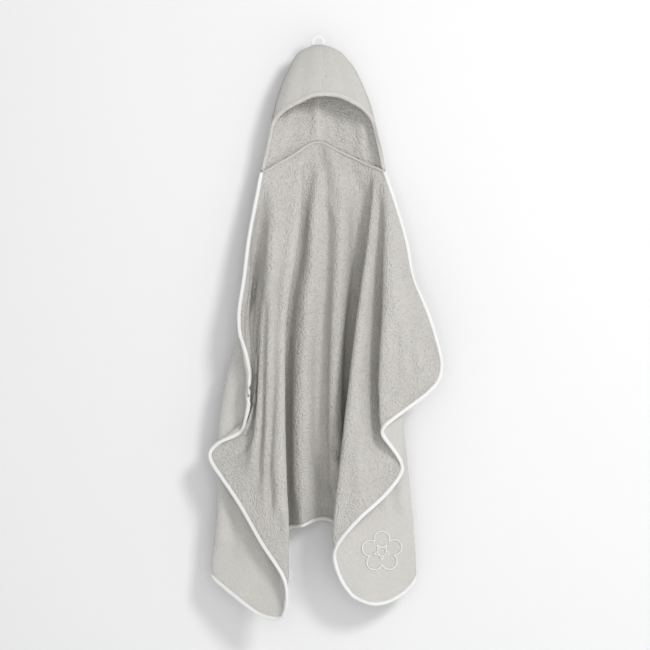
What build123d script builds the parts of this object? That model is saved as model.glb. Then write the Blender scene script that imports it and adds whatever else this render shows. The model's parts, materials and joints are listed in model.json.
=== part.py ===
from build123d import *
import math
import os

# Hooded baby towel, hung by the loop at the tip of its hood.
# Millimetres, +Z up.  The origin is the inside top of the hanging loop, where a peg
# carries the towel.  The wall side is +Y, and the open side of the hood faces -Y.

# ---- driving dimensions: the flat cut pieces ----
towel_width = 1100.0        # flat width of the body panel
towel_length = 700.0        # neck seam to the hem at the middle
corner_radius = 73.0        # rounded corners of the body panel
cloth = 4.0                 # thickness of one layer of terry
hood_height = 171.0         # tip of the hood to the neck seam at the centre back
neck_width = 218.0          # width of the hood at the neck as it hangs
neck_rise = 60.0            # the middle of the neck seam above its two ends
neck_seam_length = 262.0    # length of the neck seam along the cloth
neck_seam_band = 5.0        # overlocked seam between the hood and the body
face_width = 188.0          # width of the face opening
face_drop = 94.0            # tip of the hood down to the top of the face opening
face_arch = 68.0            # height of the rounded top of the face opening
hem_band = 9.0              # turned band round the face opening
binding_size = 7.0          # edge binding, across the folded tape
binding_wrap = 0.8          # how far the tape stands off each face of the cloth
loop_width = 25.0           # hanging loop, over its two legs
loop_height = 20.0          # hanging loop, above the tip of the hood
loop_legs = 16.0            # length of the loop's legs sewn into the hood
loop_tape = 6.5             # flat width of the loop's tape
loop_tape_thickness = 2.4
label_width = 12.0
label_length = 22.0
label_thickness = 0.6
label_place = 0.8           # along the last run of the left ridge
petal_count = 5
petal_radius = 14.0
petal_reach = 23.0          # centre of the flower to the centre of a petal
eye_radius = 8.0            # ring in the middle of the flower
motif_line = 3.0            # width of a satin-stitched line
motif_height = 1.0          # how far the embroidery stands off the cloth

# ---- driving dimensions: how the towel hangs ----
hang_width = 417.0          # from the left tip to the right tip
hang_depth = 120.0          # from the layer at the wall to the foremost fold
hood_depth = 66.0           # hood, front to back, at the neck
back_y = 33.0               # the layer at the wall, behind the loop
left_extra_drop = 18.0      # the left bottom corner hangs this much lower
neck_middle_x = 8.0         # the neck hangs a little right of the loop

# ---- worked out from the above ----
hood_tip_z = loop_tape - loop_height
neck_z = hood_tip_z - hood_height
neck_end_z = neck_z - neck_rise
hood_full = hood_height + neck_rise
hood_y = back_y - hood_depth / 2
side_panel = (towel_width - neck_seam_length) / 2
corner_cut = (math.sqrt(2) - 1) * corner_radius
corner_z = neck_end_z - math.hypot(side_panel, towel_length) + corner_cut
corner_down = (neck_z - corner_z) / towel_length
left_corner_down = corner_down + left_extra_drop / towel_length
big = 4 * hang_width


def spot(across, out, down):
    """A place on the hung towel.

    across is a share of half the hung width, out a share of the hung depth away
    from the wall, and down a share of the towel's length below the neck seam.
    """
    x = across * hang_width / 2
    y = back_y - out * hang_depth
    z = neck_z - down * towel_length
    return (x, y, z)


def line(points):
    """A fold or an edge of the hung towel, as places from the neck down."""
    return [spot(*point) for point in points]


def lobe_out(across):
    """Distance from the wall of the flat lobe at the right bottom corner."""
    return 0.74 - 0.548 * across


# ---- folds and edges of the body panel, from the neck down ----
left_edge = line([
    (-0.47, 0.26, 0.04), (-0.64, 0.46, 0.36), (-0.68, 0.50, 0.47), (-0.60, 0.60, 0.62),
    (-0.62, 0.64, 0.76), (-0.92, 0.50, 0.82), (-0.68, 0.62, 0.94), (-0.28, 0.66, 1.14),
])
left_ridge = line([
    (-0.03, 0.08, -0.04), (-0.16, 0.42, 0.36), (-0.27, 0.54, 0.47), (-0.29, 0.62, 0.62),
    (-0.29, 0.66, 0.75), (-0.28, 0.68, 0.82), (-0.27, 0.70, 0.94), (-0.24, 0.72, 1.14),
])
left_return = line([
    (-0.16, 0.12, 0.00), (-0.48, 0.26, 0.36), (-0.66, 0.28, 0.47), (-0.81, 0.30, 0.62),
    (-0.88, 0.30, 0.75), (-0.88, 0.30, 0.82), (-0.87, 0.32, 0.94), (-0.93, 0.36, 1.12),
])
left_low = [
    left_return[-1], spot(-0.62, 0.50, 1.20), spot(-0.36, 0.62, left_corner_down),
    left_edge[-1],
]
left_low_top = [
    left_return[-2], spot(-0.67, 0.446, 0.94), spot(-0.47, 0.573, 0.94), left_ridge[-2],
]
middle_left = line([
    (-0.06, 0.04, -0.04), (-0.30, 0.10, 0.36), (-0.34, 0.08, 0.47), (-0.34, 0.07, 0.62),
    (-0.32, 0.07, 0.75), (-0.30, 0.07, 0.82), (-0.28, 0.07, 0.94), (-0.26, 0.07, 1.01),
])
middle_ridge = line([
    (0.02, 0.05, -0.04), (-0.04, 0.22, 0.36), (-0.10, 0.22, 0.47), (-0.11, 0.22, 0.62),
    (-0.11, 0.22, 0.75), (-0.12, 0.22, 0.82), (-0.12, 0.22, 0.94), (-0.10, 0.22, 1.00),
])
middle_right = line([
    (0.08, 0.04, -0.04), (0.08, 0.12, 0.36), (0.05, 0.10, 0.47), (0.04, 0.08, 0.62),
    (0.04, 0.08, 0.75), (0.04, 0.08, 0.82), (0.06, 0.08, 0.94), (0.05, 0.08, 0.98),
])
right_return = line([
    (0.52, 0.16, 0.02), (0.62, 0.24, 0.36), (0.68, 0.24, 0.47), (0.74, 0.26, 0.62),
    (0.77, 0.26, 0.75), (0.79, 0.28, 0.82), (0.84, 0.28, 0.94), (0.86, 0.27, 1.12),
])
right_ridge = line([
    (0.42, 0.18, 0.00), (0.34, 0.50, 0.36), (0.31, 0.58, 0.47), (0.25, 0.62, 0.62),
    (0.18, 0.66, 0.75), (0.15, 0.67, 0.82), (0.11, 0.68, 0.94), (0.12, 0.67, 1.06),
])
front_edge = line([
    (0.56, 0.24, 0.04), (0.62, 0.54, 0.36), (0.66, 0.58, 0.47), (0.70, 0.60, 0.62),
    (0.72, 0.62, 0.75), (0.70, 0.66, 0.86), (0.48, 0.70, 0.94), (0.16, 0.70, 1.04),
])
pleat_back = front_edge[:5]
pleat_front = line([
    (0.51, 0.28, 0.05), (0.56, 0.78, 0.36), (0.53, 0.82, 0.47), (0.53, 0.84, 0.62),
    (0.54, 0.84, 0.75),
])
right_edge = line([
    (0.585, 0.30, 0.06), (0.82, 0.66, 0.36), (0.96, 0.70, 0.47), (1.05, 0.72, 0.60),
    (0.78, 0.78, 0.69),
])
right_low_top = [right_return[-2], spot(0.50, lobe_out(0.50), 0.94), right_ridge[-2]]
right_low = [
    right_return[-1], spot(0.54, lobe_out(0.54), corner_down),
    spot(0.15, lobe_out(0.15), 1.10),
]


def facet(a, b, c):
    return Face(Wire.make_polygon([Vector(*a), Vector(*b), Vector(*c)], close=True))


def back(point, depth):
    return (point[0], point[1] + depth, point[2])


def plate(left, right, thickness=cloth):
    """One layer of cloth between two lines that have the same number of places."""
    faces = []
    last = len(left) - 1
    for i in range(last):
        a, b, c, d = left[i], right[i], right[i + 1], left[i + 1]
        faces += [facet(a, c, b), facet(a, d, c)]
        e, f, g, h = (back(point, thickness) for point in (a, b, c, d))
        faces += [facet(e, f, g), facet(e, g, h)]
        faces += [facet(a, e, h), facet(a, h, d)]
        faces += [facet(b, c, g), facet(b, g, f)]
    for i in (0, last):
        a, b = left[i], right[i]
        e, f = back(a, thickness), back(b, thickness)
        faces += [facet(a, b, f), facet(a, f, e)]
    solid = Solid(Shell(faces))
    if solid.volume < 0:
        solid = Solid(Shell([-face for face in faces]))
    return solid


def neck_line(drop):
    """A prism of everything below the neck seam, lowered by drop."""
    half = neck_width / 2
    reach = 2 * half
    fall = neck_rise * reach / half
    outline = Polyline(
        (neck_middle_x, neck_z - drop),
        (neck_middle_x + reach, neck_z - drop - fall),
        (neck_middle_x + reach, neck_z - big),
        (neck_middle_x - reach, neck_z - big),
        (neck_middle_x - reach, neck_z - drop - fall),
        close=True,
    )
    return extrude(Plane.XZ * make_face(outline), big, both=True)


def body_panel():
    """The terry sheet: its folded layers from the left edge to the right edge."""
    layers = [
        plate(left_edge, left_ridge),
        plate(left_return[:-1], left_ridge[:-1]),
        plate(left_low_top, left_low),
        plate(left_return, middle_left),
        plate(middle_left, middle_ridge),
        plate(middle_ridge, middle_right),
        plate(middle_right, right_return),
        plate(right_ridge[:-1], right_return[:-1]),
        plate(right_low_top, right_low),
        plate(right_ridge, front_edge),
        plate(pleat_front, pleat_back),
        plate(pleat_front, right_edge),
    ]
    whole = layers[0].fuse(*layers[1:])
    return whole & neck_line(neck_seam_band)


def hood_section(down, wide, deep, inset):
    """One level section of the hood, as shares of its full height, width and depth."""
    middle = Plane((neck_middle_x * down, hood_y, hood_tip_z - down * hood_full))
    across = wide * neck_width / 2 - inset
    through = deep * hood_depth / 2 - inset
    return middle * Ellipse(across, through)


def hood_form(inset):
    """The hood's dome, drawn in by inset all round."""
    levels = [
        (0.00, 0.15, 0.24), (0.07, 0.35, 0.45), (0.20, 0.54, 0.62), (0.33, 0.67, 0.75),
        (0.48, 0.79, 0.87), (0.65, 0.88, 0.94), (0.82, 0.955, 0.98), (1.08, 1.0, 1.0),
    ]
    dome = loft([hood_section(*level, inset) for level in levels])
    return dome


def face_opening(band):
    """The space in front of the hood's middle that the face opening takes out."""
    wide = face_width / 2 + band
    arch = face_arch + band
    spring_z = hood_tip_z - face_drop - face_arch
    middle = neck_middle_x * face_drop / hood_full
    rounded = Pos(middle, spring_z) * Ellipse(wide, arch)
    straight = Pos(middle, spring_z - big / 2) * Rectangle(2 * wide, big)
    front = Plane.XZ.offset(-hood_y)
    return extrude(front * (rounded + straight), big)


def hood():
    """Two terry panels with a seam down the middle, the hem band and the neck seam."""
    shell = hood_form(0) - hood_form(cloth)
    above = shell - neck_line(0)
    panels = above - face_opening(hem_band)
    hem = (above - face_opening(0)) & face_opening(hem_band)
    panels = panels - hanging_loop()
    right_side = Pos(neck_middle_x / 2 + big / 2, 0, 0) * Box(big, big, big)
    seam = (shell & neck_line(0)) - neck_line(neck_seam_band) - face_opening(0)
    return panels - right_side, panels & right_side, hem, seam


def hanging_loop():
    """A flat tape loop: two legs and a round top, with its gap facing the peg."""
    radius = loop_width / 2
    top = loop_tape - radius
    bottom = hood_tip_z - loop_legs
    outer = Pos(0, top) * Circle(radius)
    outer += Pos(0, (top + bottom) / 2) * Rectangle(loop_width, top - bottom)
    gap = Pos(0, top) * Circle(radius - loop_tape)
    gap += Pos(0, (top + bottom) / 2) * Rectangle(loop_width - 2 * loop_tape, top - bottom)
    tape = Plane.XZ.offset(-hood_y) * (outer - gap)
    return extrude(tape, loop_tape_thickness / 2, both=True)


def outward(before, after, side):
    """The direction out of the cloth, square to a run in the XZ plane."""
    run = Vector(after[0] - before[0], 0, after[2] - before[2]).normalized()
    return Vector(side * run.Z, 0, -side * run.X)


def tape_run(points, side):
    """A run of the folded tape just outside an edge, mitred at each turn.

    side is 1 where the cloth lies to the left of the run as seen from the front,
    and -1 where it lies to the right.
    """
    last = len(points) - 1
    inner = []
    outer = []
    for i, point in enumerate(points):
        one = outward(points[max(i - 1, 0)], points[max(i, 1)], side)
        two = outward(points[min(i, last - 1)], points[min(i + 1, last)], side)
        middle = (one + two).normalized()
        reach = binding_size / middle.dot(one)
        inner.append((point[0], point[1] - binding_wrap, point[2]))
        outer.append((point[0] + middle.X * reach, inner[-1][1], point[2] + middle.Z * reach))
    return plate(inner, outer, cloth + 2 * binding_wrap)


def edge_binding():
    """White tape folded over the free edge, from neck end to neck end."""
    middle_hem = [middle_left[-1], middle_ridge[-1], middle_right[-1]]
    runs = [
        tape_run(left_edge, 1),
        tape_run(left_low[::-1][1:], -1),
        tape_run(middle_hem, 1),
        tape_run(right_low, -1),
        tape_run(front_edge[:3:-1], 1),
        tape_run(right_edge[::-1], 1),
    ]
    tape = runs[0].fuse(*runs[1:])
    return tape & neck_line(neck_seam_band)


def flower_motif(panel):
    """A line-stitched flower on the lobe at the right bottom corner."""
    middle = Vector(*spot(0.55, lobe_out(0.55), 1.07))
    along = Vector(*right_low_top[0]) - Vector(*right_low_top[-1])
    facing = along.cross(Vector(0, 0, -1)).normalized()
    if facing.Y > 0:
        facing = -facing
    ring = Circle(petal_radius) - Circle(petal_radius - motif_line)
    eye = Circle(eye_radius) - Circle(eye_radius - motif_line)
    petals = [place * ring for place in PolarLocations(petal_reach, petal_count, 90)]
    drawing = Sketch() + petals + eye
    stitched = extrude(Plane(middle, x_dir=along, z_dir=facing) * drawing, motif_height)
    return stitched - panel


def care_label(panel):
    """A folded label caught at the ridge near the left bottom corner."""
    above, below = Vector(*left_ridge[-2]), Vector(*left_ridge[-1])
    caught = above + (below - above) * label_place
    middle = caught + Vector(label_width / 4, cloth / 2, 0)
    return Pos(middle) * Box(label_width, label_thickness, label_length) - panel


def write(node, shape):
    solids = shape.solids()
    whole = solids[0] if len(solids) == 1 else Compound(children=list(solids))
    whole.label = node
    export_step(whole, f"parts/{node}.step")
    print(node, len(solids), round(sum(solid.volume for solid in solids)))


if __name__ == "__main__":
    os.makedirs("parts", exist_ok=True)
    left_panel, right_panel, hem, seam = hood()
    panel = body_panel()
    write("body_panel", panel)
    write("hood_left_panel", left_panel)
    write("hood_right_panel", right_panel)
    write("hood_hem", hem)
    write("neck_seam", seam)
    write("edge_binding", edge_binding())
    write("hanging_loop", hanging_loop())
    write("flower_motif", flower_motif(panel))
    write("care_label", care_label(panel))
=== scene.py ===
import json
import logging
import math
from dataclasses import dataclass, field
from enum import Enum

import bmesh
import bpy
import numpy as np
from mathutils import Matrix, Vector
from mathutils.bvhtree import BVHTree

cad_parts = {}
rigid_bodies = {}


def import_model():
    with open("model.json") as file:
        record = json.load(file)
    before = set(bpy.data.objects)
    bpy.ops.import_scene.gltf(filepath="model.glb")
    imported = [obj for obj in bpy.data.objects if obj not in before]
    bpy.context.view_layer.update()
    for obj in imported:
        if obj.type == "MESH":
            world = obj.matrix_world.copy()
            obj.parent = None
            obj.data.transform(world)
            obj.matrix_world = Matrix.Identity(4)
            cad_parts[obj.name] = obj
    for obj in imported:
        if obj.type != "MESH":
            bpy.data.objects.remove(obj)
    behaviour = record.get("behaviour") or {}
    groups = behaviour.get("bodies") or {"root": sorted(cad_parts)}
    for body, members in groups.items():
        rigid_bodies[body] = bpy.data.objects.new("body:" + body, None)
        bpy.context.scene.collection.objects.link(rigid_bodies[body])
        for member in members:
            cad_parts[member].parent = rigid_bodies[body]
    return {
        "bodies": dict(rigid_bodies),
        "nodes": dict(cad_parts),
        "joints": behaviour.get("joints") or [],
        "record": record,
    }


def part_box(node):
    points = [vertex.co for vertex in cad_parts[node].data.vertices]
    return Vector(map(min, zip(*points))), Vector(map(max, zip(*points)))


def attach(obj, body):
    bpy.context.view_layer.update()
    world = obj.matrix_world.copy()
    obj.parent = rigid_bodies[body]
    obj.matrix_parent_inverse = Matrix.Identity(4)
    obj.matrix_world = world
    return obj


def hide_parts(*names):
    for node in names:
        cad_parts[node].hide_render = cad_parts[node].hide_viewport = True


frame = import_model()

LOG = logging.getLogger("towel")
MM = 0.001
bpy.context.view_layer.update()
BODY = "root"

Point = tuple[float, float, float]
Colour = tuple[float, float, float]


# ---------------------------------------------------------------- shader maths


class Sock:
    """A number on its way through a material, with Python's own operators."""

    def __init__(self, shader: "Shader", socket: object) -> None:
        """Wraps an output socket of a node in that shader."""
        self.shader = shader
        self.socket = socket

    def _maths(self, kind: str, first: object, second: object) -> "Sock":
        """Adds one Math node.

        Args:
            kind: the node's operation.
            first: its first value or link.
            second: its second value or link.

        Returns:
            The node's result.
        """
        return self.shader.node("ShaderNodeMath", {"operation": kind}, {0: first, 1: second})

    def __add__(self, other: object) -> "Sock":
        """This plus the other."""
        return self._maths("ADD", self, other)

    def __radd__(self, other: object) -> "Sock":
        """The other plus this."""
        return self._maths("ADD", other, self)

    def __sub__(self, other: object) -> "Sock":
        """This less the other."""
        return self._maths("SUBTRACT", self, other)

    def __rsub__(self, other: object) -> "Sock":
        """The other less this."""
        return self._maths("SUBTRACT", other, self)

    def __mul__(self, other: object) -> "Sock":
        """This times the other."""
        return self._maths("MULTIPLY", self, other)

    def __rmul__(self, other: object) -> "Sock":
        """The other times this."""
        return self._maths("MULTIPLY", other, self)


class Shader:
    """One material's node tree, built round its Principled shader."""

    specular = 0.25
    sheen_roughness = 0.5

    def __init__(self, name: str, roughness: float, sheen: float = 0.0) -> None:
        """Starts a material.

        Args:
            name: the material's name.
            roughness: the surface's roughness.
            sheen: how much loose fibre catches the light.
        """
        self.material = bpy.data.materials.new(name)
        self.material.use_nodes = True
        self.tree = self.material.node_tree
        self.surface = self.tree.nodes["Principled BSDF"]
        self.surface.inputs["Roughness"].default_value = roughness
        self.surface.inputs["Specular IOR Level"].default_value = self.specular
        self.surface.inputs["Sheen Weight"].default_value = sheen
        self.surface.inputs["Sheen Roughness"].default_value = self.sheen_roughness

    def node(self, kind: str, settings: dict, inputs: dict, output: str | int = 0) -> Sock:
        """Adds a node.

        Args:
            kind: the node's type.
            settings: its properties, set first.
            inputs: values or links for its sockets, by name or number.
            output: the socket to hand back, by name or number.

        Returns:
            The chosen output.
        """
        made = self.tree.nodes.new(kind)
        for name, value in settings.items():
            setattr(made, name, value)
        for name, value in inputs.items():
            if isinstance(value, Sock):
                self.tree.links.new(value.socket, made.inputs[name])
            else:
                made.inputs[name].default_value = value
        return Sock(self, made.outputs[output])

    def mix(self, share: Sock, low: Colour, high: Colour) -> Sock:
        """Blends two colours by a share from 0 to 1."""
        return self.node(
            "ShaderNodeMix", {"data_type": "RGBA"}, {0: share, 6: (*low, 1), 7: (*high, 1)}, 2
        )

    def feed(self, name: str, value: Sock) -> None:
        """Links a value to a socket of the Principled shader."""
        self.tree.links.new(value.socket, self.surface.inputs[name])

    def bump(self, height: Sock, distance: float) -> None:
        """Raises the surface by a height, in metres at height 1."""
        values = {"Height": height, "Distance": distance, "Strength": 1.0}
        self.feed("Normal", self.node("ShaderNodeBump", {}, values))


@dataclass(frozen=True)
class TerryFinish:
    """Cotton terry: tufts of loops on the inside face, or sheared pile on the outside; its colour is
    painted darker in the hollows between the tufts as painted shade, with a random drift in tone.
    """

    name: str
    light: Colour
    # The colour of the hollows: painted shade, mixed with random tone.
    hollow_shade_and_tone: Colour
    tuft: float
    depth: float
    hollow_shade_contrast: float
    tuft_share: float
    roughness: float = 0.92
    sheen: float = 0.25
    scatter: float = 0.9
    lay_scale: float = 0.34
    lay_roughness: float = 0.68
    drift_scale: float = 14.0
    drift_share: float = 0.5

    def make(self) -> bpy.types.Material:
        """Builds the material on the sheet's own flat coordinates.

        Returns:
            The material.
        """
        shader = Shader(self.name, self.roughness, self.sheen)
        flat = shader.node("ShaderNodeUVMap", {"uv_map": "flat"}, {})
        tufts = shader.node(
            "ShaderNodeTexVoronoi",
            {"feature": "F1"},
            {"Vector": flat, "Scale": 1 / self.tuft, "Randomness": self.scatter},
            "Distance",
        )
        lay = shader.node("ShaderNodeTexNoise", {}, {
            "Vector": flat, "Scale": self.lay_scale / self.tuft,
            "Detail": 5.0, "Roughness": self.lay_roughness,
        })
        drift = shader.node(
            "ShaderNodeTexNoise", {}, {"Vector": flat, "Scale": self.drift_scale, "Detail": 3.0}
        )
        height = self.tuft_share * (1 - tufts) + (1 - self.tuft_share) * lay
        # Painted shade: the colour follows the bump's height, so the hollows between tufts are
        # painted darker; the drift adds random tone.
        shade = 0.5 + (height - 0.5) * self.hollow_shade_contrast + (drift - 0.5) * self.drift_share
        shader.feed("Base Color", shader.mix(shade, self.hollow_shade_and_tone, self.light))
        shader.bump(height, self.depth)
        return shader.material


@dataclass(frozen=True)
class TapeFinish:
    """Woven cotton tape: fine diagonal ribs along its length, with painted shade in the grooves
    between the ribs.
    """

    name: str
    light: Colour
    hollow_shade_and_tone: Colour
    rib: float
    depth: float
    roughness: float = 0.8
    sheen: float = 0.15
    rib_scale: float = 0.3
    fuzz_scale: float = 900.0
    rib_share: float = 0.7
    fuzz_share: float = 0.3

    def make(self) -> bpy.types.Material:
        """Builds the material on the tape's own length and width coordinates.

        Returns:
            The material.
        """
        shader = Shader(self.name, self.roughness, self.sheen)
        flat = shader.node("ShaderNodeUVMap", {"uv_map": "flat"}, {})
        ribs = shader.node(
            "ShaderNodeTexWave",
            {"bands_direction": "DIAGONAL"},
            {"Vector": flat, "Scale": self.rib_scale / self.rib, "Distortion": 1.5, "Detail": 2.0},
            "Fac",
        )
        fuzz = shader.node("ShaderNodeTexNoise", {}, {"Vector": flat, "Scale": self.fuzz_scale})
        height = ribs * self.rib_share + fuzz * self.fuzz_share
        # Painted shade: the colour follows the ribs' height, so the grooves are painted darker.
        shader.feed("Base Color", shader.mix(height, self.hollow_shade_and_tone, self.light))
        shader.bump(height, self.depth)
        return shader.material


@dataclass(frozen=True)
class ThreadFinish:
    """Twisted sewing or embroidery thread, with painted shade in the hollows of its twist."""

    name: str
    light: Colour
    hollow_shade_and_tone: Colour
    strand: float
    roughness: float = 0.55
    sheen: float = 0.1
    relief: float = 0.4

    def make(self) -> bpy.types.Material:
        """Builds the material on the piece's own place in the towel.

        Returns:
            The material.
        """
        shader = Shader(self.name, self.roughness, self.sheen)
        place = shader.node("ShaderNodeTexCoord", {}, {}, "Object")
        ply = shader.node(
            "ShaderNodeTexNoise", {}, {"Vector": place, "Scale": 1 / self.strand, "Detail": 2.0}
        )
        # Painted shade: the colour follows the ply's height, so its hollows are painted darker.
        shader.feed("Base Color", shader.mix(ply, self.hollow_shade_and_tone, self.light))
        shader.bump(ply, self.strand * self.relief)
        return shader.material


@dataclass(frozen=True)
class StudioFinish:
    """Plain matt paint for the floor and the wall, clear from behind."""

    name: str
    colour: Colour
    clear_behind: bool
    roughness: float = 0.95

    def make(self) -> bpy.types.Material:
        """Builds the paint.

        Returns:
            The material.
        """
        shader = Shader(self.name, self.roughness)
        shader.surface.inputs["Base Color"].default_value = (*self.colour, 1)
        if self.clear_behind:
            behind = shader.node("ShaderNodeNewGeometry", {}, {}, "Backfacing")
            clear = shader.node("ShaderNodeBsdfTransparent", {}, {})
            paint = Sock(shader, shader.surface.outputs[0])
            both = shader.node("ShaderNodeMixShader", {}, {0: behind, 1: paint, 2: clear})
            ending = shader.tree.nodes["Material Output"]
            shader.tree.links.new(both.socket, ending.inputs["Surface"])
        return shader.material


# Each finish's second colour is the painted shade in its hollows, mixed with random tone.
LOOPED = TerryFinish(
    "terry_looped", (0.745, 0.728, 0.692), (0.53, 0.51, 0.472), 0.0032, 0.0050, 1.4, 0.55
)
SHEARED = TerryFinish(
    "terry_sheared", (0.70, 0.685, 0.652), (0.575, 0.558, 0.525), 0.0022, 0.0022, 1.0, 0.45
)
WHITE_TAPE = TapeFinish("white_tape", (0.93, 0.93, 0.92), (0.80, 0.80, 0.79), 0.0012, 0.0003)
LABEL_SATIN = TapeFinish("label_satin", (0.80, 0.80, 0.80), (0.62, 0.62, 0.63), 0.0006, 0.0001)
WHITE_THREAD = ThreadFinish("white_thread", (0.90, 0.90, 0.88), (0.74, 0.74, 0.72), 0.0006)
GREY_THREAD = ThreadFinish("grey_thread", (0.70, 0.685, 0.655), (0.56, 0.545, 0.515), 0.0006)


@dataclass(frozen=True)
class Stitch:
    """One kind of stitch in metres: how far apart, how long and how wide."""

    pitch: float
    length: float
    width: float


HEM_STITCH = Stitch(0.0036, 0.0026, 0.0008)
BINDING_STITCH = Stitch(0.0036, 0.0026, 0.0007)
OVERLOCK_STITCH = Stitch(0.0022, 0.0048, 0.0009)
TACK_STITCH = Stitch(0.0015, 0.0014, 0.0006)


class Side(Enum):
    """Which half of the towel a thing belongs to, as it is seen from the front."""

    LEFT = "left"
    RIGHT = "right"


# ---------------------------------------------------------------- shared steps


def to_object(
    name: str, bm: bmesh.types.BMesh, finishes: list, smooth: bool = True
) -> bpy.types.Object:
    """Turns a bmesh into an object at the origin.

    Args:
        name: the piece's name.
        bm: the mesh, which is freed.
        finishes: its materials, in slot order.
        smooth: whether its faces are shaded smooth.

    Returns:
        The new object.
    """
    mesh = bpy.data.meshes.new(name)
    for face in bm.faces:
        face.smooth = smooth
    bm.to_mesh(mesh)
    bm.free()
    for finish in finishes:
        mesh.materials.append(finish)
    made = bpy.data.objects.new(name, mesh)
    bpy.context.scene.collection.objects.link(made)
    return made


def finish_piece(piece: bpy.types.Object, slot: str, *nodes: str) -> None:
    """Rides a piece on the body and hides what it stands for.

    Args:
        piece: the piece.
        slot: its material slot in the record; not used.
        nodes: the nodes that it stands for.
    """
    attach(piece, BODY)
    if nodes:
        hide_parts(*nodes)
    LOG.info("made %s", piece.name)


def add_modifier(piece: bpy.types.Object, kind: str, **settings: object) -> None:
    """Adds a modifier.

    Args:
        piece: the piece.
        kind: the modifier's type.
        settings: its properties.
    """
    made = piece.modifiers.new(kind.title(), kind)
    for name, value in settings.items():
        setattr(made, name, value)


def tube(
    name: str, rings: list, profile: list, finish: bpy.types.Material
) -> bpy.types.Object:
    """A strip of any section that follows a row of frames.

    Args:
        name: the piece's name.
        rings: for each place, its centre and the two directions of its section.
        profile: the section's points, as shares of the two directions.
        finish: its material.

    Returns:
        The new object, with a UV map of metres along and round it.
    """
    along, around = len(rings), len(profile)
    bm = bmesh.new()
    bmesh.ops.create_grid(bm, x_segments=around, y_segments=along - 1, size=0.5)
    layer = bm.loops.layers.uv.new("flat")
    lengths = lengths_along([ring[0] for ring in rings])
    turn = 2 * sum(rings[0][i].length for i in (1, 2)) / around
    places = {}
    for vert in bm.verts:
        j = round((vert.co.x + 0.5) * around)
        i = round((vert.co.y + 0.5) * (along - 1))
        places[vert] = (i, j)
    for face in bm.faces:
        for loop in face.loops:
            i, j = places[loop.vert]
            loop[layer].uv = (lengths[i], j * turn)
    for vert, (i, j) in places.items():
        centre, wide, thick = rings[i]
        a, b = profile[j % around]
        vert.co = centre + wide * a + thick * b
    bmesh.ops.remove_doubles(bm, verts=bm.verts[:], dist=1e-6)
    edges = [edge for edge in bm.edges if edge.is_boundary]
    bmesh.ops.holes_fill(bm, edges=edges, sides=around + 1)
    bmesh.ops.recalc_face_normals(bm, faces=bm.faces[:])
    return to_object(name, bm, [finish])


def oval(points: int, power: float = 2.0) -> list:
    """The section of a rounded strip, as shares of its two half sizes.

    Args:
        points: how many points it has.
        power: 2 for an ellipse, and more for squarer corners.

    Returns:
        The points.
    """
    ring = []
    for i in range(points):
        angle = 2 * math.pi * i / points
        c, s = math.cos(angle), math.sin(angle)
        ring.append(
            (math.copysign(abs(c) ** (2 / power), c), math.copysign(abs(s) ** (2 / power), s))
        )
    return ring


def stitches(
    name: str, places: list, kind: Stitch, finish: bpy.types.Material
) -> bpy.types.Object:
    """A row of short threads.

    Args:
        name: the piece's name.
        places: for each stitch, its centre, its direction and the way it faces.
        kind: the stitch.
        finish: its material.

    Returns:
        The new object.
    """
    bm = bmesh.new()
    for centre, along, up in places:
        side = along.cross(up).normalized()
        flat = side.cross(along).normalized()
        turn = Matrix((along.normalized(), side, flat)).transposed().to_4x4()
        size = Matrix.Diagonal((kind.length / 2, kind.width / 2, kind.width / 2, 1))
        place = Matrix.Translation(centre) @ turn @ size
        bmesh.ops.create_icosphere(bm, subdivisions=1, radius=1.0, matrix=place)
    return to_object(name, bm, [finish])


def lengths_along(points: list) -> list[float]:
    """How far along a polyline each of its points lies.

    Args:
        points: the polyline.

    Returns:
        The distances, from 0.
    """
    marks = [0.0]
    for one, two in zip(points, points[1:]):
        marks.append(marks[-1] + (Vector(two) - Vector(one)).length)
    return marks


def along_line(points: list, step: float) -> list:
    """Places evenly spaced along a polyline.

    Args:
        points: the polyline.
        step: about how far apart the places are.

    Returns:
        For each, its stretch of the line, its share of that stretch and its direction.
    """
    lengths = lengths_along(points)
    count = max(2, int(lengths[-1] / step))
    found = []
    k = 0
    for i in range(count):
        at = (i + 0.5) * lengths[-1] / count
        while lengths[k + 1] < at:
            k += 1
        share = (at - lengths[k]) / max(lengths[k + 1] - lengths[k], 1e-9)
        found.append((k, share, (points[k + 1] - points[k]).normalized()))
    return found


def heading(points: list, i: int) -> Vector:
    """The way a polyline runs at one of its points."""
    return (points[min(i + 1, len(points) - 1)] - points[max(i - 1, 0)]).normalized()


def square_to(way: Vector, along: Vector) -> Vector:
    """The part of a direction that is square to another, at length 1."""
    return (way - along * way.dot(along)).normalized()


# ---------------------------------------------------------------- the body panel


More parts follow.
